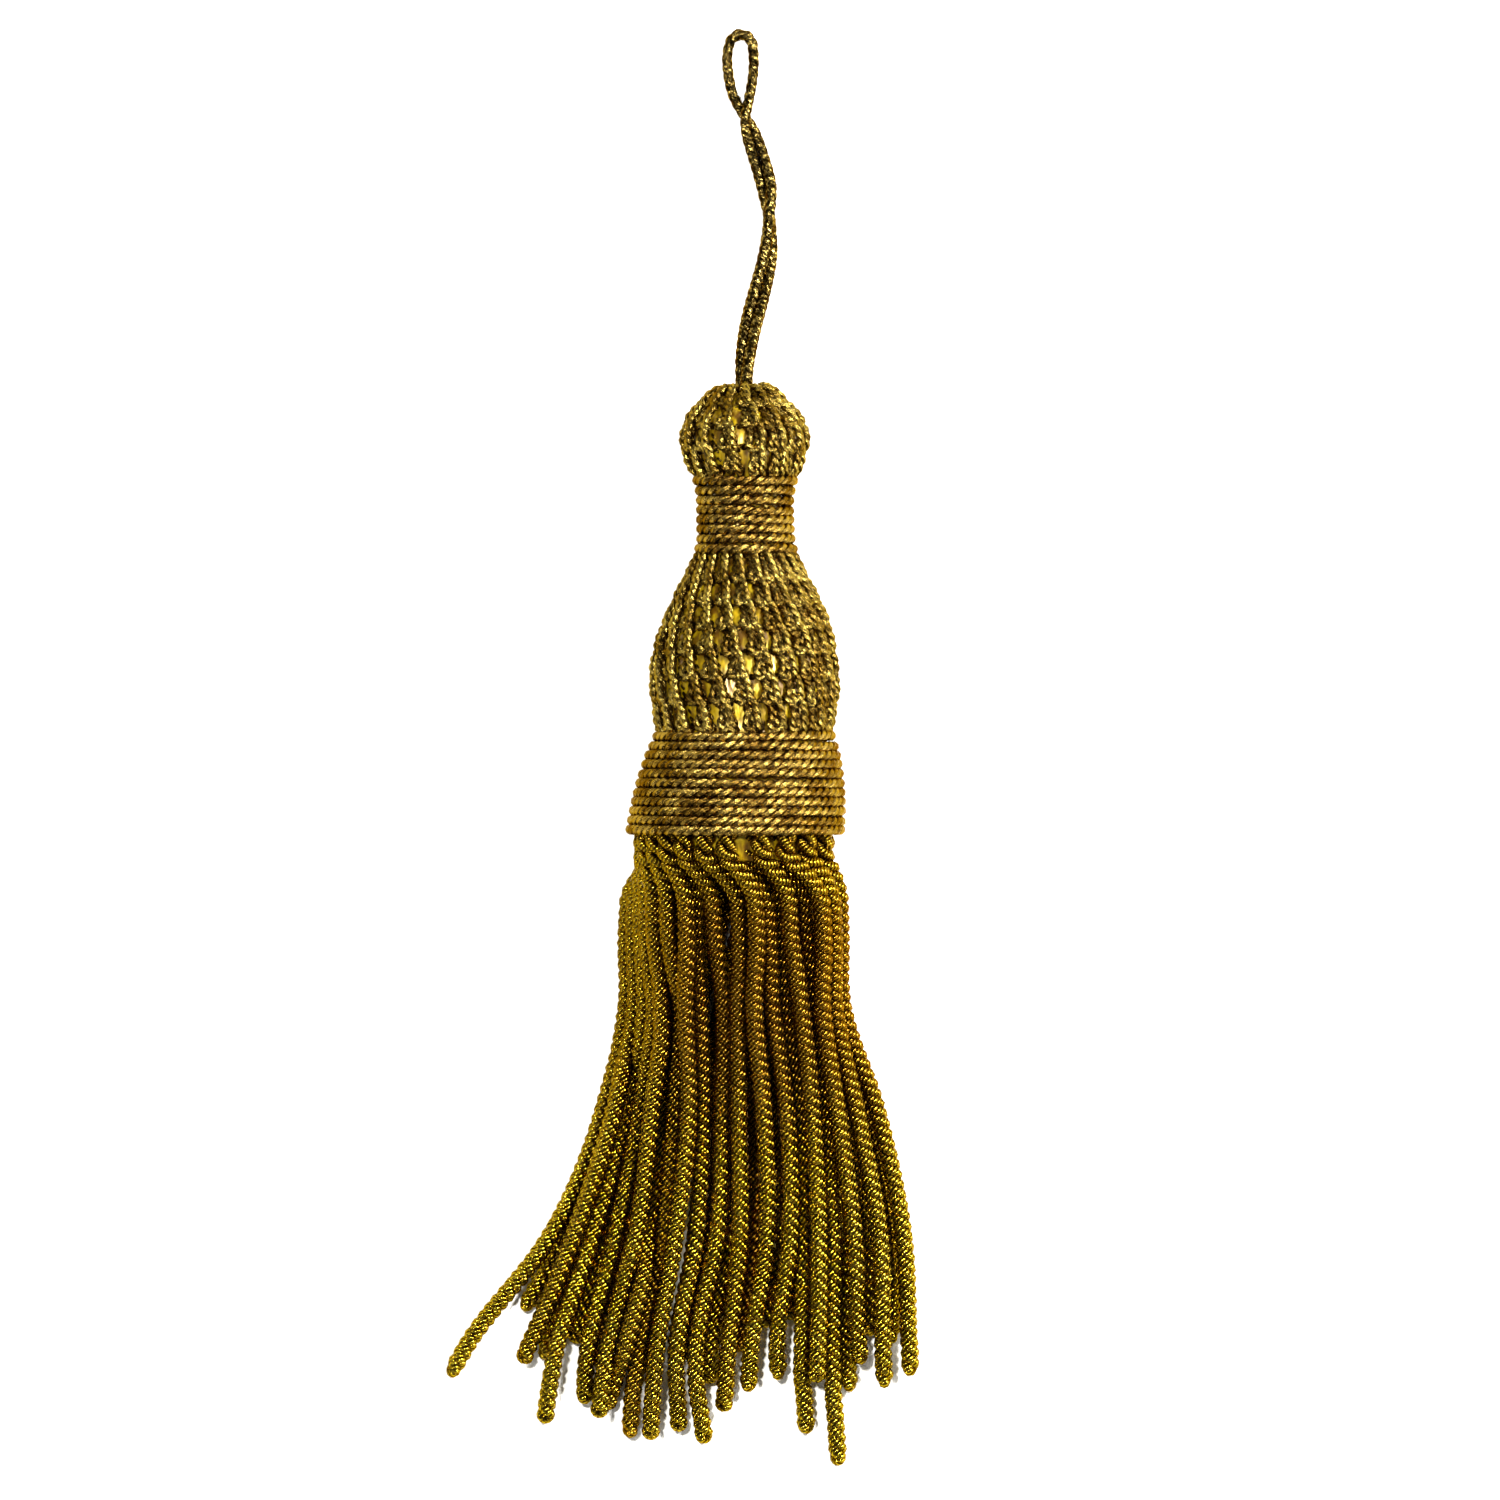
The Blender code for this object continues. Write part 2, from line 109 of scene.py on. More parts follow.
def rounded(points, fine):  # a curve that passes smoothly through the points
    padded = np.vstack([2 * points[0] - points[1], points, 2 * points[-1] - points[-2]])
    t = (np.arange(fine) / fine)[None, :, None]
    a, b, c, d = (padded[i:len(padded) - 3 + i][:, None] for i in range(4))
    curve = b + 0.5 * t * (c - a + t * (2 * a - 5 * b + 4 * c - d + t * (3 * (b - c) + d - a)))
    return np.vstack([curve.reshape(-1, points.shape[1]), points[-1]])


def frames(points, normals):  # two unit vectors across the line at each of its points
    tangent = np.gradient(points, axis=0)
    tangent /= np.linalg.norm(tangent, axis=1, keepdims=True)
    across = np.cross(tangent, normals)
    across /= np.linalg.norm(across, axis=1, keepdims=True)
    return np.cross(across, tangent), across


def upwards(line):  # the way up, once for each point of the line
    return np.tile((0.0, 0.0, 1.0), (len(line), 1))


def plies(line, normals, offset, turn, tone, phase=0.0, count=2):  # twisted plies round a line, left handed
    up, side = frames(line, normals)
    run = lengths(line)
    spun = np.r_[0.0, np.cumsum(np.diff(run) / (turn + np.zeros(len(run) - 1)))]
    made = []
    for k in range(count):
        angle = (phase - spun + k / count) * math.tau
        out = np.cos(angle)[:, None] * up + np.sin(angle)[:, None] * side
        path = line + (offset + np.zeros(len(line)))[:, None] * out
        made.append({"path": path, "axis": line, "run": run, "tone": tone})
    return made


def tubes(name, parts, radius, resolution):  # one mesh of round tubes along the parts' paths, caps first
    curve = bpy.data.curves.new(name, "CURVE")
    curve.dimensions = "3D"
    curve.twist_mode = "MINIMUM"
    curve.bevel_depth = radius * mm
    curve.bevel_resolution = resolution
    curve.use_fill_caps = True
    for part in parts:
        spline = curve.splines.new("POLY")
        spline.points.add(len(part["path"]) - 1)
        spots = np.ones((len(part["path"]), 4))
        spots[:, :3] = part["path"] * mm
        spline.points.foreach_set("co", spots.ravel())
        spline.points.foreach_set("radius", part.get("girth", np.ones(len(spots))))
    guide = bpy.data.objects.new(name + "_guide", curve)
    scene.collection.objects.link(guide)
    bpy.context.view_layer.update()
    mesh = bpy.data.meshes.new_from_object(guide.evaluated_get(bpy.context.evaluated_depsgraph_get()))
    bpy.data.objects.remove(guide)
    bpy.data.curves.remove(curve)
    return mesh


def sweep(name, parts, radius, resolution, material, slot, nodes):
    # Round tubes with three attributes: place along and round the ply, distance from the cord's axis, tone
    mesh = tubes(name, parts, radius, resolution)
    sides = 4 + 2 * resolution
    total = len(mesh.vertices)
    places = np.empty(total * 3)
    mesh.vertices.foreach_get("co", places)
    places = places.reshape(-1, 3)
    wrap = np.zeros((total, 3))
    depth = np.zeros(total)
    tone = np.zeros(total)
    turn = np.arange(sides) / sides * math.tau
    first = 2 * sides * len(parts)
    for part in parts:
        count = len(part["path"])
        last = first + count * sides
        wrap[first:last, 0] = np.repeat(part["run"], sides)
        wrap[first:last, 1] = np.tile(np.cos(turn), count)
        wrap[first:last, 2] = np.tile(np.sin(turn), count)
        away = places[first:last].reshape(count, sides, 3) / mm - part["axis"][:, None]
        depth[first:last] = np.linalg.norm(away, axis=2).ravel()
        tone[first:last] = np.repeat(part["tone"] + np.zeros(count), sides)
        first = last
    places[:, 2] = np.maximum(places[:, 2], 0)
    mesh.vertices.foreach_set("co", places.ravel())
    mesh.attributes.new("wrap", "FLOAT_VECTOR", "POINT").data.foreach_set("vector", wrap.ravel())
    mesh.attributes.new("depth", "FLOAT", "POINT").data.foreach_set("value", depth)
    mesh.attributes.new("tone", "FLOAT", "POINT").data.foreach_set("value", tone)
    shape = bmesh.new()
    shape.from_mesh(mesh)
    bmesh.ops.remove_doubles(shape, verts=shape.verts, dist=1e-7)
    shape.to_mesh(mesh)
    shape.free()
    return place(name, mesh, material, slot, nodes)


def place(name, mesh, material, slot, nodes):
    mesh.shade_smooth()
    mesh.materials.clear()
    mesh.materials.append(material)
    made = bpy.data.objects.new(name, mesh)
    scene.collection.objects.link(made)
    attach(made, "root")
    for node in nodes:
        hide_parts(node)
    print(name, len(mesh.vertices), "corners")
    return made


# Materials


class Wire:  # one socket's value in a material, with the usual arithmetic
    def __init__(self, shader, socket):
        self.shader = shader
        self.socket = socket

    def maths(self, operation, *others):
        return self.shader.node("ShaderNodeMath", {"operation": operation}, dict(enumerate((self, *others))))

    def __add__(self, other):
        return self.maths("ADD", other)

    def __mul__(self, other):
        return self.maths("MULTIPLY", other)

    __radd__ = __add__
    __rmul__ = __mul__

    def sine(self):
        return self.maths("SINE")

    def size(self):
        return self.maths("ABSOLUTE")

    def between(self, low, high):
        inputs = {"Value": self, "From Min": low, "From Max": high}
        return self.shader.node("ShaderNodeMapRange", {"interpolation_type": "SMOOTHSTEP"}, inputs)


class Shader:  # one material and its nodes
    def __init__(self, name):
        self.material = bpy.data.materials.new(name)
        self.material.use_nodes = True
        self.tree = self.material.node_tree
        self.surface = self.tree.nodes["Principled BSDF"]

    def plug(self, socket, value):
        if isinstance(value, Wire):
            self.tree.links.new(value.socket, socket)
        else:
            socket.default_value = value

    def node(self, kind, settings, inputs, output=0):
        made = self.tree.nodes.new(kind)
        for key, value in settings.items():
            setattr(made, key, value)
        for key, value in inputs.items():
            self.plug(made.inputs[key], value)
        return Wire(self, made.outputs[output])

    def vector(self, name):
        return self.node("ShaderNodeAttribute", {"attribute_name": name}, {}, 1)

    def number(self, name):
        return self.node("ShaderNodeAttribute", {"attribute_name": name}, {}, 2)

    def spot(self):  # the point on the piece, in metres
        return self.node("ShaderNodeTexCoord", {}, {}, 3)

    def part(self, vector, index):
        return self.node("ShaderNodeSeparateXYZ", {}, {0: vector}, index)

    def joined(self, x, y, z):
        return self.node("ShaderNodeCombineXYZ", {}, {0: x, 1: y, 2: z})

    def noise(self, vector, scale, detail):
        return self.node("ShaderNodeTexNoise", {}, {"Vector": vector, "Scale": scale, "Detail": detail})

    def mix(self, share, first, second):
        return self.node("ShaderNodeMix", {"data_type": "RGBA"}, {0: share, 6: first, 7: second}, 2)

    def bump(self, height, distance):
        return self.node("ShaderNodeBump", {}, {"Height": height, "Distance": distance * mm, "Strength": 1.0})

    def set(self, **values):
        for key, value in values.items():
            self.plug(self.surface.inputs[key.replace("_", " ")], value)


def rgb(red, green, blue):
    return (red, green, blue, 1.0)


# What gold thread and wire turn to where they are seen at a low angle
edgeTint = rgb(0.65, 0.48, 0.26)

# Plies wrapped closely in fine wire: a ridge at each wrap. Painted shade: dark red-brown in the twist between
# the plies, and darker grooves between wraps. Pairs of colours are for the brightest and the dullest tone.
# Wrap, outer, inner and bump are millimetres
bullionLook = {
    "wrap": 0.34, "outer": 1.17, "inner": 0.64, "bump": 0.14, "uneven": 1.2, "patch": 260.0, "detail": 2.0,
    "gold": (rgb(0.28, 0.205, 0.014), rgb(0.13, 0.066, 0.006)),
    "paintedShade": (rgb(0.05, 0.022, 0.002), rgb(0.065, 0.025, 0.003)),
    "paintedGrooveShade": (rgb(0.088, 0.05, 0.004), rgb(0.08, 0.035, 0.003)), "grooveEdge": (0.3, 0.9),
    "rough": 0.07, "patchRough": 0.08, "toneRough": 0.16,
}


def bullionMaterial():
    look = bullionLook
    s = Shader("bullion_wire")
    run = s.part(s.vector("wrap"), 0)
    tone = s.number("tone")
    patch = s.noise(s.spot(), look["patch"], look["detail"])
    ridge = (run * (math.pi / look["wrap"]) + patch * look["uneven"]).sine().size()
    # Painted shade: the colour turns dark red-brown towards the strand's axis, in the twist between the plies
    crest = s.number("depth").between(look["inner"], look["outer"])
    shaded = s.mix(crest, s.mix(tone, *look["paintedShade"]), s.mix(tone, *look["gold"]))
    # Painted shade: the grooves between the wire's wraps take a darker colour than the wraps' crests
    colour = s.mix(ridge.between(*look["grooveEdge"]), s.mix(tone, *look["paintedGrooveShade"]), shaded)
    rough = patch * look["patchRough"] + tone * look["toneRough"] + look["rough"]
    s.set(Base_Color=colour, Metallic=1.0, Specular_Tint=edgeTint, Roughness=rough)
    s.set(Normal=s.bump(ridge, look["bump"]))
    return s.material


# Plies of fine metal thread laid side by side. Streaks lie along the thread, and grain changes over the
# piece.
# Painted shade darkens the twist between the plies, and more so where the tone is low
threadLook = {
    "along": 1.8, "round": 3.0, "streak": 1.6, "detail": 3.0, "line": 0.4, "bump": 0.08, "rough": 0.08,
    "streakRough": 0.3, "darkest": 0.2, "toneShare": 0.8,
}
netLook = {
    "dull": rgb(0.1, 0.062, 0.01), "bright": rgb(0.24, 0.172, 0.036), "paintedShade": rgb(0.026, 0.01, 0.001),
    "strands": 5.0, "outer": 0.5, "inner": 0.2, "slant": 6.0, "grain": 330.0, "glint": (0.38, 0.62),
}
woundLook = {
    "dull": rgb(0.1, 0.056, 0.009), "bright": rgb(0.26, 0.172, 0.036), "paintedShade": rgb(0.022, 0.009, 0.001),
    "strands": 5.0, "outer": 0.68, "inner": 0.36, "slant": 5.0, "grain": 330.0, "glint": (0.38, 0.62),
}
gimpLook = {
    "dull": rgb(0.012, 0.008, 0.002), "bright": rgb(0.27, 0.19, 0.05), "paintedShade": rgb(0.012, 0.006, 0.002),
    "strands": 4.0, "outer": 0.64, "inner": 0.3, "slant": 9.0, "grain": 2400.0, "glint": (0.48, 0.66),
}


def threadMaterial(name, look):
    thread = threadLook
    s = Shader(name)
    wrap = s.vector("wrap")
    run = s.part(wrap, 0)
    first = s.part(wrap, 1)
    second = s.part(wrap, 2)
    around = s.node("ShaderNodeMath", {"operation": "ARCTAN2"}, {0: second, 1: first})
    lines = (around * look["strands"] + run * look["slant"]).sine()
    flat = s.joined(run * thread["along"], first * thread["round"], second * thread["round"])
    streak = s.noise(flat, thread["streak"], thread["detail"])
    patch = s.noise(s.spot(), look["grain"], thread["detail"])
    gold = s.mix(patch.between(*look["glint"]), look["dull"], look["bright"])
    # Painted shade: tone sets how much of each ply's crest keeps its gold, and the rest takes the dark shade
    # colour
    paintedLightShare = thread["darkest"] + s.number("tone") * thread["toneShare"]
    crest = s.number("depth").between(look["inner"], look["outer"]) * paintedLightShare
    rough = thread["rough"] + thread["streakRough"] * streak
    s.set(Base_Color=s.mix(crest, look["paintedShade"], gold), Metallic=1.0, Specular_Tint=edgeTint, Roughness=rough)
    s.set(Normal=s.bump(lines * thread["line"] + streak, thread["bump"]))
    return s.material


# Crinkled yellow satin. Its dark and light colours are painted shade and painted light on the crinkles
satinLook = {
    "dark": rgb(0.075, 0.034, 0.001), "light": rgb(0.37, 0.25, 0.003), "change": (0.35, 0.7),
    "crinkle": 900.0, "detail": 2.0, "stretch": 0.35, "metal": 0.4, "rough": 0.3, "bump": 0.25,
}


def satinMaterial():
    look = satinLook
    s = Shader("yellow_satin")
    spot = s.spot()
    stretched = s.joined(s.part(spot, 0), s.part(spot, 1) * look["stretch"], s.part(spot, 2))
    crinkle = s.noise(stretched, look["crinkle"], look["detail"])
    # Painted light and shade: lighter where a crinkle stands up, darker in its hollows
    s.set(Base_Color=s.mix(crinkle.between(*look["change"]), look["dark"], look["light"]))
    s.set(Metallic=look["metal"], Roughness=look["rough"], Normal=s.bump(crinkle, look["bump"]))
    return s.material


def plainMaterial(name, colour, roughness):
    s = Shader(name)
    s.set(Base_Color=colour, Roughness=roughness)
    return s.material


bullion = bullionMaterial()
satin = satinMaterial()
netThread = threadMaterial("net_thread", netLook)
woundCord = threadMaterial("wound_cord", woundLook)
gimp = threadMaterial("gimp_cord", gimpLook)
print("thread, cord, bullion and satin materials made")

# The mould: distance along Y, radius of the net's or winding's outer side, sideways place of the centre
mouldSections = [
    (67.8, 2.2, 7.8), (66.6, 4.2, 7.8), (65.2, 6.0, 7.8), (63.8, 7.35, 7.8), (62.0, 8.05, 7.8),
    (59.8, 8.05, 7.8), (57.8, 7.5, 7.8), (56.0, 6.7, 7.9), (54.2, 6.25, 7.9), (50.5, 6.15, 7.9),
    (47.8, 6.3, 8.0), (46.2, 6.8, 8.0), (41.8, 8.95, 8.0), (38.1, 10.6, 8.0), (34.9, 11.5, 7.9),
    (32.0, 11.9, 7.8), (29.2, 11.9, 7.8), (26.2, 11.45, 7.8), (24.6, 11.3, 7.8), (21.7, 12.2, 7.6),
    (17.4, 13.15, 7.2), (14.2, 13.55, 6.9), (11.6, 13.7, 6.6),
]
neckTop = 56.3
bellyTop = 46.6
collarTop = 24.7
collarEnd = 11.6
# Where the axis is at two places: distance along Y, height
bellyRest = (30.8, 11.6)
collarRest = (11.6, 13.4)
# Half of the span over which the slope of the mould's side is read
reading = 0.1


def radiusAt(where):
    return along(mouldSections, where, 1)


def axisAt(where):  # sideways place and height of the mould's axis
    slope = (collarRest[1] - bellyRest[1]) / (collarRest[0] - bellyRest[0])
    return along(mouldSections, where, 2), bellyRest[1] + slope * (where - bellyRest[0])


def onMould(turn, where, height):  # points at that height over the net's outer side, and the way out there
    slope = (radiusAt(where + reading) - radiusAt(where - reading)) / (2 * reading)
    rise = np.hypot(1, slope)
    radial = 1 / rise
    axial = -slope / rise
    radius = radiusAt(where) + height * radial
    x, z = axisAt(where)
    point = np.stack([x + radius * np.cos(turn), where + height * axial, z + radius * np.sin(turn)], axis=1)
    normal = np.stack([radial * np.cos(turn), axial, radial * np.sin(turn)], axis=1)
    return point, normal


mould = {"under": 1.65, "top": 67.0, "foot": 12.0, "step": 0.7, "columns": 96, "sharp": 60.0}


def turned(name, profile, columns, material, slot, nodes):  # spins (radius, along) points round the axis
    shape = bmesh.new()
    corners = [shape.verts.new((radius, where, 0)) for radius, where in profile]
    edges = [shape.edges.new(pair) for pair in zip(corners[:-1], corners[1:])]
    if profile[0][0] > 0:
        edges.append(shape.edges.new((corners[-1], corners[0])))
    bmesh.ops.spin(
        shape, geom=corners + edges, axis=(0, 1, 0), angle=math.tau, steps=columns, use_merge=True,
    )
    bmesh.ops.remove_doubles(shape, verts=shape.verts, dist=1e-5)
    bmesh.ops.recalc_face_normals(shape, faces=shape.faces)
    for corner in shape.verts:
        x, y, z = corner.co
        middle, height = axisAt(y)
        corner.co = ((x + middle) * mm, y * mm, max(z + height, 0) * mm)
    mesh = bpy.data.meshes.new(name)
    shape.to_mesh(mesh)
    shape.free()
    made = place(name, mesh, material, slot, nodes)
    mesh.set_sharp_from_angle(angle=math.radians(mould["sharp"]))
    return made


def makeMould():
    levels = np.arange(mould["top"], mould["foot"], -mould["step"])
    profile = [(0.0, mould["top"])] + [(float(radiusAt(y)) - mould["under"], y) for y in levels]
    profile += [(float(radiusAt(mould["foot"])) - mould["under"], mould["foot"]), (0.0, mould["foot"])]
    turned("satin_mould", profile, mould["columns"], satin, "satin", ["mould_core"])


# The band inside the collar's mouth, its outer lower edge cut off
heading = {"outer": 10.3, "inner": 9.4, "top": 14.0, "end": 8.3, "edgeUp": 0.2, "edgeIn": 0.25, "columns": 72}


def makeHeading():
    outer, inner, top, end = (heading[k] for k in ("outer", "inner", "top", "end"))
    profile = [(outer, top), (outer, end + heading["edgeUp"]), (outer - heading["edgeIn"], end)]
    profile += [(inner, end), (inner, top)]
    turned("satin_heading", profile, heading["columns"], satin, "satin", ["bullion_skirt"])


# Windings: cord laid round the mould, stepping to the next turn on the underside. Start is in degrees
winds = {
    "ply": 0.44, "offset": 0.25, "twist": 2.8, "step": 0.34, "under": 0.6, "stair": 0.28, "fine": 90,
    "start": 250.0, "uneven": 0.06, "knots": 7, "margin": 0.5, "clear": 0.15, "fade": 2.0, "tone": 0.85,
}
neckWinding = {
    "turns": 8, "top": neckTop - winds["clear"], "end": bellyTop + winds["clear"], "seed": 1,
    "partings": [],
}
# A parting: where along Y the turns stand apart, its middle and width in degrees round the mould, and how far
# they shift
collarWinding = {
    "turns": 11, "top": collarTop - winds["clear"], "end": collarEnd, "seed": 2,
    "partings": [(18.8, 86, 26, 0.16)],
}


def makeWinding(name, winding, node):
    random = np.random.default_rng(winding["seed"])
    turns = winding["turns"]
    top = winding["top"]
    end = winding["end"]
    t = np.linspace(0, turns, turns * winds["fine"] + 1)
    part = t - np.floor(t)
    row = np.minimum(np.floor(t), turns - 1)
    part = np.where(t >= turns, 1.0, part)
    climb = np.where(row < turns - 1, smooth(part, 1 - winds["stair"], 1.0), 0.0)
    pitch = (top - end - 2 * winds["under"]) / (turns - 1)
    where = top - winds["under"] - pitch * (row + climb)
    turn = math.radians(winds["start"]) - part * math.tau
    knots = turns * winds["knots"]
    where = where + np.interp(t, np.linspace(0, turns, knots), random.normal(0, winds["uneven"], knots))
    for level, middle, width, shift in winding["partings"]:
        near = np.exp(-((np.degrees(turn) - middle + 540) % 360 - 180) ** 2 / width ** 2)
        where = where + shift * near * np.exp(-np.abs(where - level) / winds["fade"]) * np.sign(where - level)
    where = np.clip(where, end + winds["margin"], top - winds["margin"])
    point, normal = onMould(turn, where, -winds["under"] + 0 * t)
    line = evened(np.hstack([point, normal]), winds["step"])
    parts = plies(line[:, :3], line[:, 3:], winds["offset"], winds["twist"], winds["tone"])
    return sweep(name, parts, winds["ply"], 2, woundCord, "wound_cord", [node])


# Nets: rounds of loops, each hung on the round above and moved on by the net's lean, a share of a stitch.
# One stitch: a hanging loop, then up behind the round above and down the rib. Sideways place and drop in
# shares of a stitch and a row, height over the outer side
loopPath = [
    (-0.42, -0.06, -1.55), (-0.3, 0.1, -1.4), (-0.3, 0.36, -1.2), (-0.4, 0.6, -1.0), (-0.52, 0.8, -0.9),
    (-0.46, 1.0, -0.85), (-0.28, 1.04, -0.85), (-0.17, 0.82, -0.95), (-0.17, 0.45, -1.15), (-0.15, 0.1, -1.4),
    (-0.1, -0.08, -1.25), (0.0, -0.14, -0.85), (0.05, 0.08, -0.5), (0.05, 0.4, -0.4), (0.02, 0.72, -0.42),
    (-0.02, 0.98, -0.65), (0.04, 1.06, -1.35), (0.06, 0.7, -1.95), (0.12, 0.08, -2.0),
]
bellyNet = {"stitches": 21, "rows": 7, "top": 46.9, "end": 24.6, "lean": 0.3, "uneven": 0.03, "seed": 5}
knobNet = {"stitches": 14, "rows": 4, "top": 67.6, "end": 56.2, "lean": 0.2, "uneven": 0.08, "seed": 8}
# The thread of both nets. Painted shade: its tone is least at the lower of the two heights and full at proud,
# so the net's deeper parts are coloured darker. The stitches stand higher where they are gathered. Above is
# the share of a row that is left for the first round's loops
netCord = {
    "ply": 0.32, "offset": 0.22, "twist": 2.2, "step": 0.35, "paintedShade": -1.6, "proud": -0.6, "gather": 0.6,
    "gathered": (64.0, 67.4), "above": 0.1, "levels": 400, "fine": 6, "start": 270.0,
    "unevenShares": (1.0, 1.0, 0.6),
}


def makeNet(name, net, node):
    random = np.random.default_rng(net["seed"])
    levels = np.linspace(net["top"], net["end"], netCord["levels"])
    profile = np.stack([levels, radiusAt(levels)], axis=1)
    run = np.r_[0.0, np.cumsum(np.hypot(*np.diff(profile, axis=0).T))]
    shape = np.array(loopPath)
    parts = []
    for row in range(net["rows"]):
        knots = []
        for stitch in range(net["stitches"]):
            off = random.normal(0, net["uneven"], (1, 3)) * netCord["unevenShares"]
            middle = np.sin(np.linspace(0, math.pi, len(shape)))[:, None] * off
            knots.append(shape + (stitch, 0, 0) + middle)
        knots.append(shape[:2] + (net["stitches"], 0, 0))
        path = rounded(np.vstack(knots), netCord["fine"])
        across = path[:, 0] + net["lean"] * (path[:, 1] + row)
        turn = math.radians(netCord["start"]) - across / net["stitches"] * math.tau
        share = (path[:, 1] + row + netCord["above"]) / (net["rows"] + netCord["above"])
        level = np.interp(np.clip(share, 0, 1) * run[-1], run, levels)
        height = path[:, 2] + netCord["gather"] * smooth(level, *netCord["gathered"])
        point, normal = onMould(turn, level, height)
        line = evened(np.hstack([point, normal, path[:, 2:3]]), netCord["step"])
        # Painted shade: the thread is coloured darker where it lies deeper in the net
        tone = smooth(line[:, 6], netCord["paintedShade"], netCord["proud"])
        parts += plies(line[:, :3], line[:, 3:6], netCord["offset"], netCord["twist"], tone, random.random())
    return sweep(name, parts, netCord["ply"], 1, netThread, "net_thread", [node])


# The strands that lie on top. Root angle in degrees round the mould, ring 0 outer or 1 inner, then the
# sideways place at each station below the collar, and the tip's place and distance
stations = (12.0, 20.8, 34.5, 50.8, 64.5)
topStrands = [
    (215, 0, -6.9, -6.9, -9.8, -16.8, -27.2, -29.2, 68.3),
    (202, 0, -6.0, -5.8, -8.4, -13.8, -19.3, -20.2, 66.5),
    (189, 0, -5.1, -4.6, -6.8, -11.4, -15.8, -17.3, 74.1),
    (176, 0, -4.3, -3.4, -5.3, -8.4, -11.8, -12.2, 71.7),
    (163, 0, -3.4, -2.3, -3.8, -5.8, -9.2, -10.5, 73.3),
    (156, 1, -2.6, -1.3, -2.3, -4.1, -7.2, -9.6, 72.3),
    (149, 0, -1.7, -0.5, -1.0, -2.5, -5.5, -6.6, 75.8),
    (137, 0, 0.6, 0.4, 0.8, -0.9, -3.2, -4.0, 76.2),
    (130, 1, 1.9, 2.3, 2.6, 1.6, -0.6, -0.4, 75.0),
    (123, 0, 4.0, 5.2, 5.0, 4.3, 1.6, 2.9, 76.7),
    (109, 0, 7.2, 7.1, 7.1, 7.2, 5.8, 5.1, 72.5),
    (95, 0, 9.3, 9.0, 10.2, 10.6, 8.6, 8.3, 70.1),
    (92, 1, 10.8, 11.2, 13.1, 13.5, 11.9, 12.1, 68.5),
    (78, 1, 12.1, 12.8, 14.8, 15.1, 15.1, 15.6, 75.4),
    (73, 0, 13.5, 14.8, 16.3, 17.1, 17.0, 16.8, 68.9),
    (64, 1, 15.5, 16.3, 17.9, 19.0, 18.8, 19.6, 79.35),
    (56, 0, 17.6, 17.5, 19.4, 21.6, 22.2, 22.5, 66.6),
    (38, 0, 18.9, 19.0, 21.8, 24.8, 25.2, 25.4, 69.7),
    (14, 0, 19.8, 20.0, 24.4, 27.8, 28.4, 28.6, 68.2),
]
# The strands underneath: root angle, ring, the top strand that each follows by its number, with a share of
# the way to the next one, and its reach
underStrands = [
    (228, 0, 0.6, 60.0), (235, 1, 1.6, 66.0), (241, 0, 2.6, 64.0), (254, 0, 3.6, 67.0),
    (262, 1, 5.0, 63.0), (268, 0, 6.5, 68.0), (281, 0, 8.4, 66.0), (289, 1, 9.5, 69.0),
    (295, 0, 10.5, 65.0), (308, 0, 11.5, 62.0), (316, 1, 12.5, 61.0), (322, 0, 13.6, 67.0),
    (335, 0, 15.4, 70.0), (343, 1, 16.5, 63.0), (350, 0, 17.5, 64.0),
]
# Radii of the outer and the inner ring of roots
rings = (11.4, 9.3)
# How the strands settle. Places are distances from the collar's end, space is the width that a strand takes
settling = {
    "step": 2.5, "space": 2.5, "straight": 2.5, "spread": 6.0, "spreadShare": 0.75, "lastStation": 65.5,
    "underFrom": 2.0, "underOver": 30.0, "arch": 58.0, "freeFrom": 3.0, "freeOver": 10.0, "tip": 60.0,
    "tipOver": 10.0, "raise": 2.25, "rounds": 320, "fall": 0.02, "weight": 0.12, "stiffness": 0.22,
    "stiffLast": 0.3, "stiffFading": 0.7, "topPull": 0.25, "underPull": 0.02, "push": 0.5, "sideways": 0.5,
}


def rootOf(angle, ring):  # sideways place and height of a strand's root at the collar's end
    x, z = axisAt(np.float64(collarEnd))
    return x + rings[ring] * math.cos(math.radians(angle)), z + rings[ring] * math.sin(math.radians(angle))


def strandTargets():
    longest = max(row[8] for row in topStrands)
    places = np.arange(0.0, longest + settling["step"], settling["step"])
    straight = places <= settling["straight"]
    targets, roots, reaches, under = [], [], [], []
    for angle, ring, *marks in topStrands:
        start, height = rootOf(angle, ring)
        spread = start + settling["spreadShare"] * (marks[0] - start)
        ending = (max(marks[6], settling["lastStation"]), marks[5])
        table = [(0.0, start), (settling["straight"], start), (settling["spread"], spread)]
        table += [*zip(stations, marks[:5]), ending]
        targets.append(np.where(straight, start, along(table, places, 1)))
        roots.append(height)
        reaches.append(marks[6])
        under.append(False)
    for angle, ring, follows, reach in underStrands:
        start, height = rootOf(angle, ring)
        share = smooth(places, settling["underFrom"], settling["underFrom"] + settling["underOver"])
        before = int(follows)
        between = follows - before
        goal = (1 - between) * targets[before] + between * targets[before + 1]
        targets.append(start + (goal - start) * share)
        roots.append(height)
        reaches.append(reach)
        under.append(True)
    return places, np.array(targets), np.array(roots), np.array(reaches), np.array(under)


def straightened(values, strength):  # what a strand's stiffness adds to its places in one round
    bend = np.zeros_like(values)
    bend[:, 1:-1] = values[:, :-2] + values[:, 2:] - 2 * values[:, 1:-1]
    return strength * bend


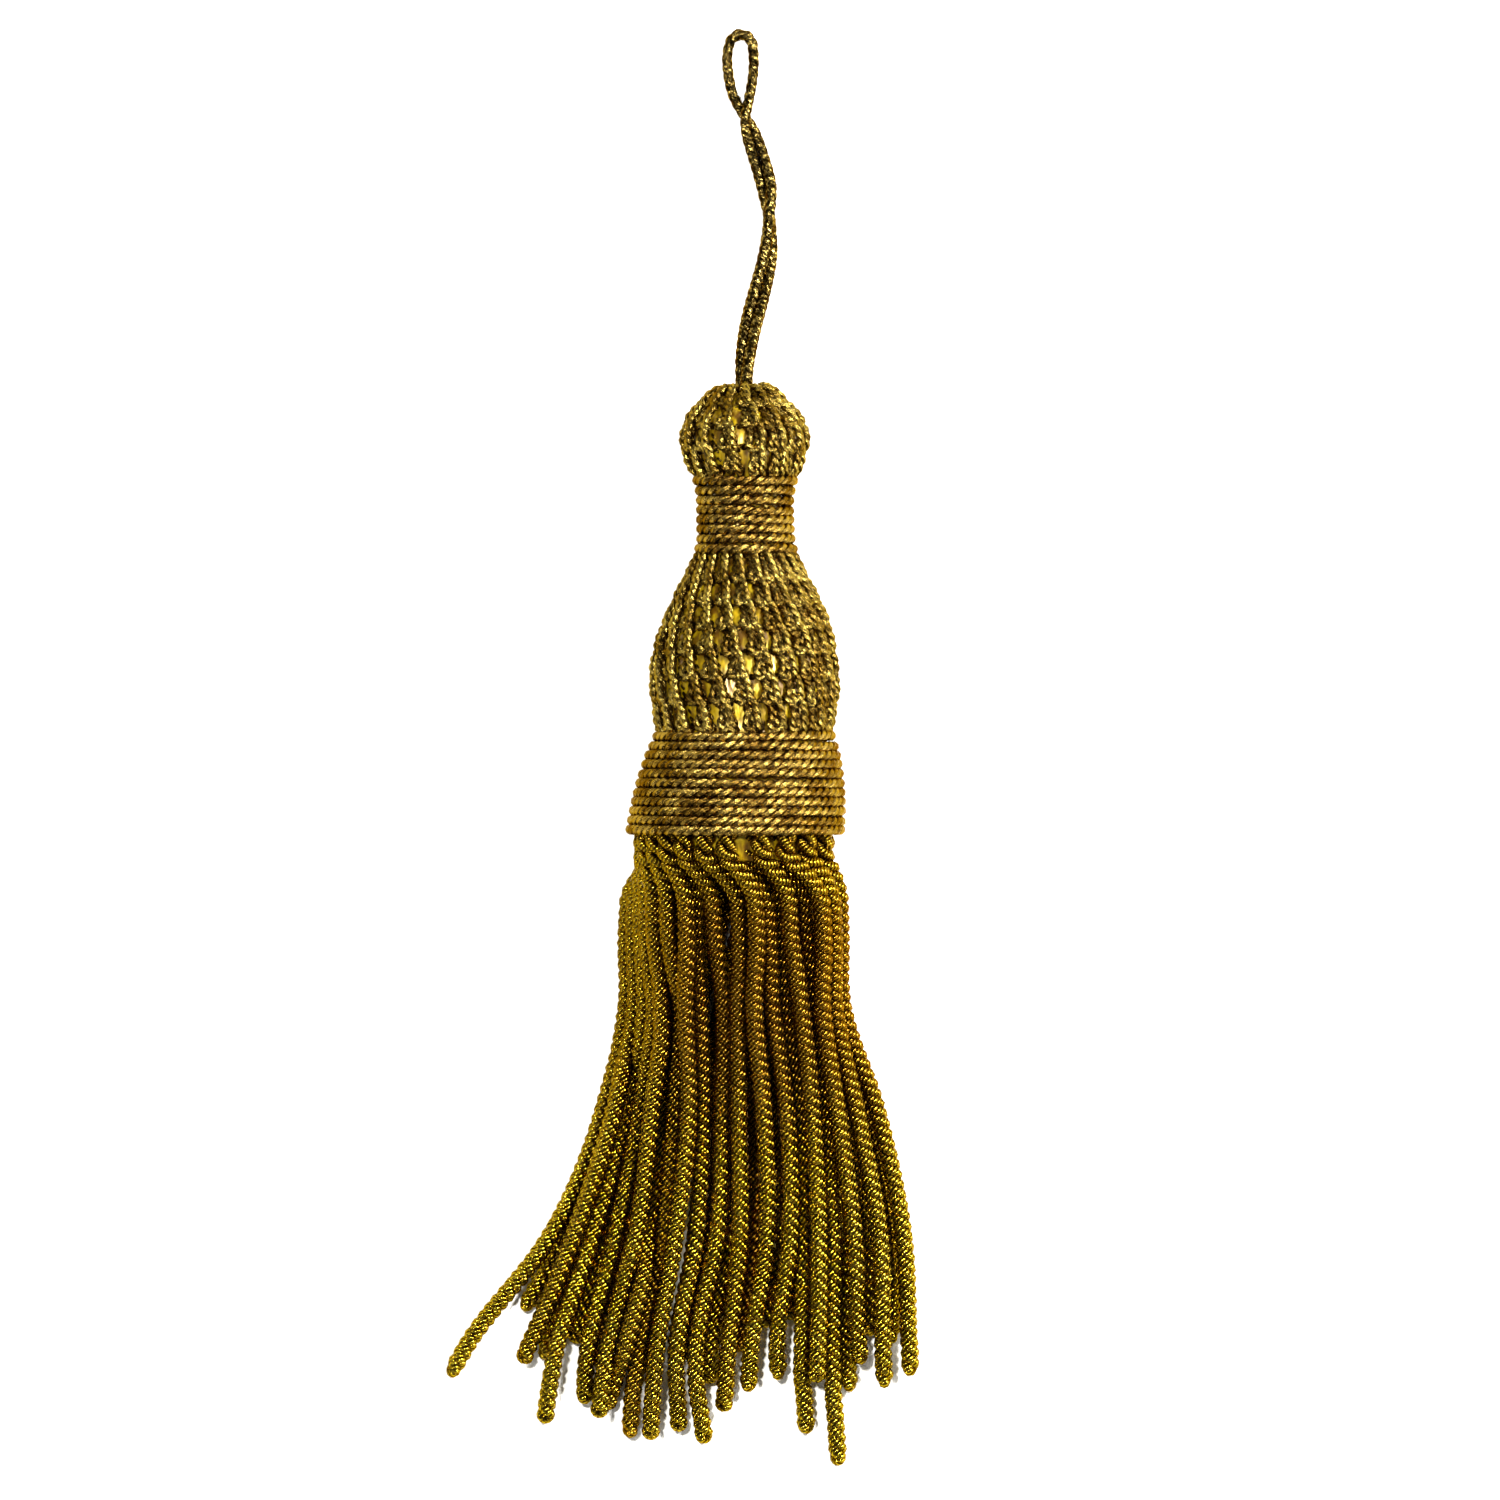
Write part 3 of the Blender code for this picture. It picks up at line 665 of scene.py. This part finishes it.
def strandPaths():  # the strands settled on the surface and on each other, a strand's width apart
    places, targets, roots, reaches, under = strandTargets()
    x = targets.copy()
    rest = settling["space"] / 2
    share = np.clip((places - settling["straight"]) / settling["arch"], 0, 1)[None, :]
    drop = (1 - share) ** 2 * (1 + 2 * share) ** 0.5
    ending = np.clip((places - settling["tip"]) / settling["tipOver"], 0, 1)[None, :]
    final = np.where(under, rest, rest + settling["raise"])[:, None]
    final = final + (rest - final) * ending
    z = roots[:, None] * drop + final * (1 - drop)
    free = np.clip((places - settling["freeFrom"]) / settling["freeOver"], 0, 1)[None, :]
    there = places[None, :] < reaches[:, None] + settling["step"]
    pull = np.where(under, settling["underPull"], settling["topPull"])[:, None]
    first, second = np.triu_indices(len(roots), 1)
    for turn in range(settling["rounds"]):
        left = 1 - turn / settling["rounds"]
        z -= (settling["fall"] + settling["weight"] * ending) * left * free
        x += pull * (targets - x) * free
        fading = settling["stiffLast"] + settling["stiffFading"] * left
        x += straightened(x - targets, settling["stiffness"]) * free * fading
        z += straightened(z, settling["stiffness"]) * free * fading
        slope = np.gradient(x, places, axis=1)
        squeeze = 1 / np.sqrt(1 + (slope[first] / 2 + slope[second] / 2) ** 2)
        across = (x[first] - x[second]) * squeeze
        rise = z[first] - z[second]
        apart = np.hypot(across, rise) + 1e-6
        both = there[first] & there[second]
        push = np.where(both, np.maximum(settling["space"] - apart, 0.0), 0.0) * settling["push"] * free
        for index, sign in ((first, 1.0), (second, -1.0)):
            np.add.at(x, index, sign * push * across / apart * settling["sideways"])
            np.add.at(z, index, sign * push * rise / apart)
        z = np.maximum(z, rest)
    return places, x, z, reaches


strand = {
    "ply": 0.72, "offset": 0.5, "twist": 2.65, "step": 0.3, "start": 0.5, "read": 0.25, "rootOffset": 0.2,
    "rootTwist": 1.0, "rootFrom": 2.0, "rootTo": 8.0, "rootThin": 0.1, "foldSteps": 7,
    "foldOut": 1.1, "seed": 3,
}
# Tone, from 0 bright to 1 dull: it rises from the tips to the collar, more at the right than at the left, and
# falls again at the collar. Pairs are the places along Y, or from left to right, where it changes
strandTone = {
    "rise": (-42.0, -10.0), "left": 0.5, "right": 0.4, "sideways": (-6.0, 3.0), "uneven": 0.1,
    "fall": 0.35, "collar": (1.0, 6.0),
}
# The least tone of the duller strands, by number, top strands first
dullStrands = {1: 0.35, 5: 0.4, 6: 0.6, 10: 0.3, 22: 0.9, 24: 0.8, 27: 0.9, 30: 0.7}


def foldedStrand(line, phase, tone):  # a wire-wrapped cord folded in two and twisted, its fold at the tip
    loose = 1 - smooth(lengths(line), strand["rootFrom"], strand["rootTo"])
    twist = strand["twist"] + strand["rootTwist"] * loose[1:]
    offset = strand["offset"] + strand["rootOffset"] * loose
    one, two = plies(line, upwards(line), offset, twist, tone, phase)
    tip = line[-1]
    ahead = line[-1] - line[-2]
    ahead = ahead / np.linalg.norm(ahead)
    out = one["path"][-1] - tip
    turn = np.linspace(0, math.pi, strand["foldSteps"])[1:-1, None]
    fold = tip + out * np.cos(turn) + ahead * strand["offset"] * np.sin(turn) * strand["foldOut"]
    path = np.vstack([one["path"], fold, two["path"][::-1]])
    axis = np.vstack([line, np.repeat(tip[None], len(fold), axis=0), line[::-1]])
    tone = np.r_[tone, np.repeat(tone[-1], len(fold)), tone[::-1]]
    girth = 1 - strand["rootThin"] * np.r_[loose, np.zeros(len(fold)), loose[::-1]]
    return {"path": path, "axis": axis, "run": lengths(path), "tone": tone, "girth": girth}


def toneAlong(line, number, random):
    across = strandTone["left"] + strandTone["right"] * smooth(line[:, 0], *strandTone["sideways"])
    tone = smooth(line[:, 1], *strandTone["rise"]) * across
    tone = tone + strandTone["uneven"] * random.random()
    tone = np.maximum(tone, dullStrands.get(number, 0.0))
    return tone * (1 - strandTone["fall"] * smooth(line[:, 1], *strandTone["collar"]))


def makeStrands():
    places, x, z, reaches = strandPaths()
    random = np.random.default_rng(strand["seed"])
    made = []
    for number, reach in enumerate(reaches):
        spots = np.arange(-strand["start"], reach - strand["offset"] - strand["ply"], strand["read"])
        table = np.stack([places, x[number], z[number]], axis=1)
        side = along(table, spots, 1)
        height = along(table, spots, 2)
        line = evened(np.stack([side, collarEnd - spots, height], axis=1), strand["step"])
        tone = toneAlong(line, number, random)
        made.append(foldedStrand(line, random.random(), tone))
    count = len(topStrands)
    sweep("top_strands", made[:count], strand["ply"], 2, bullion, "bullion", ["bullion_skirt"])
    sweep("under_strands", made[count:], strand["ply"], 2, bullion, "bullion", ["bullion_skirt"])


def makeHanging():
    route = np.array(cordRoute)
    down = np.array([hanging["inwards"], -hanging["inside"], hanging["rise"]])
    route = np.vstack([route[0] + down, route, route[-1] + down * (-1, 1, -1)])
    chord = lengths(route)
    spots = np.linspace(0.0, chord[-1], hanging["steps"])
    path = np.stack([along([(c, *p) for c, p in zip(chord, route)], spots, k) for k in (1, 2, 3)], axis=1)
    path[:, 2] = np.maximum(path[:, 2], hanging["diameter"] / 2)
    line = evened(path, hanging["step"])
    turn = hanging["turn"]
    parts = plies(line, upwards(line), hanging["offset"], turn, hanging["tone"], count=hanging["plies"])
    slim = smooth(line[:, 1], hanging["fullest"], hanging["slimFrom"])
    for part in parts:
        part["girth"] = 1 + hanging["full"] * (1 - slim)
    made = sweep("hanging_gimp_cord", parts, hanging["ply"], 2, gimp, "gimp_cord", ["hanging_cord"])


makeHanging()
makeMould()
makeHeading()
makeWinding("neck_wound_cord", neckWinding, "neck_winding")
makeWinding("collar_wound_cord", collarWinding, "collar_winding")
makeNet("knob_lace", knobNet, "knob_net")
makeNet("belly_lace", bellyNet, "belly_net")
makeStrands()

# Floor and light, in metres and watts
floor = {"half": 3.0, "colour": rgb(0.7, 0.7, 0.7), "rough": 0.8}
head = (0.008, 0.02, 0.0)
skirt = (0.0, -0.03, 0.0)
warm = (1.0, 0.97, 0.9)
clear = (1.0, 0.98, 0.9)
cool = (0.95, 0.97, 1.0)
lamps = {
    "key": {"spot": (0.42, 0.3, 0.62), "target": head, "power": 20.0, "size": 0.14, "colour": warm},
    "spark": {"spot": (-0.17, 0.16, 0.84), "target": head, "power": 12.5, "size": 0.06, "colour": clear},
    "side": {"spot": (0.7, 0.05, 0.34), "target": head, "power": 7.2, "size": 0.4, "colour": warm},
    "fill": {"spot": (-0.5, -0.2, 0.9), "target": head, "power": 0.8, "size": 0.5, "colour": cool},
    "low": {"spot": (-0.55, -0.42, 0.36), "target": skirt, "power": 1.6, "size": 0.06, "colour": clear},
}
surroundings = {"colour": rgb(1.0, 1.0, 1.0), "strength": 0.2}


def makeFloor():
    shape = bmesh.new()
    bmesh.ops.create_grid(shape, x_segments=1, y_segments=1, size=floor["half"])
    mesh = bpy.data.meshes.new("floor")
    shape.to_mesh(mesh)
    shape.free()
    mesh.materials.append(plainMaterial("pale_floor", floor["colour"], floor["rough"]))
    made = bpy.data.objects.new("floor", mesh)
    scene.collection.objects.link(made)


def makeLamp(name, lamp):
    data = bpy.data.lights.new(name, "AREA")
    data.energy = lamp["power"]
    data.size = lamp["size"]
    data.color = lamp["colour"]
    made = bpy.data.objects.new(name, data)
    made.location = lamp["spot"]
    made.rotation_euler = (Vector(lamp["target"]) - Vector(lamp["spot"])).to_track_quat("-Z", "Y").to_euler()
    scene.collection.objects.link(made)


def makeWorld():
    world = bpy.data.worlds.new("studio")
    scene.world = world
    world.use_nodes = True
    background = world.node_tree.nodes["Background"]
    background.inputs["Color"].default_value = surroundings["colour"]
    background.inputs["Strength"].default_value = surroundings["strength"]


makeFloor()
for name, lamp in lamps.items():
    makeLamp(name, lamp)
makeWorld()
print("floor,", len(lamps), "lamps and surroundings made")
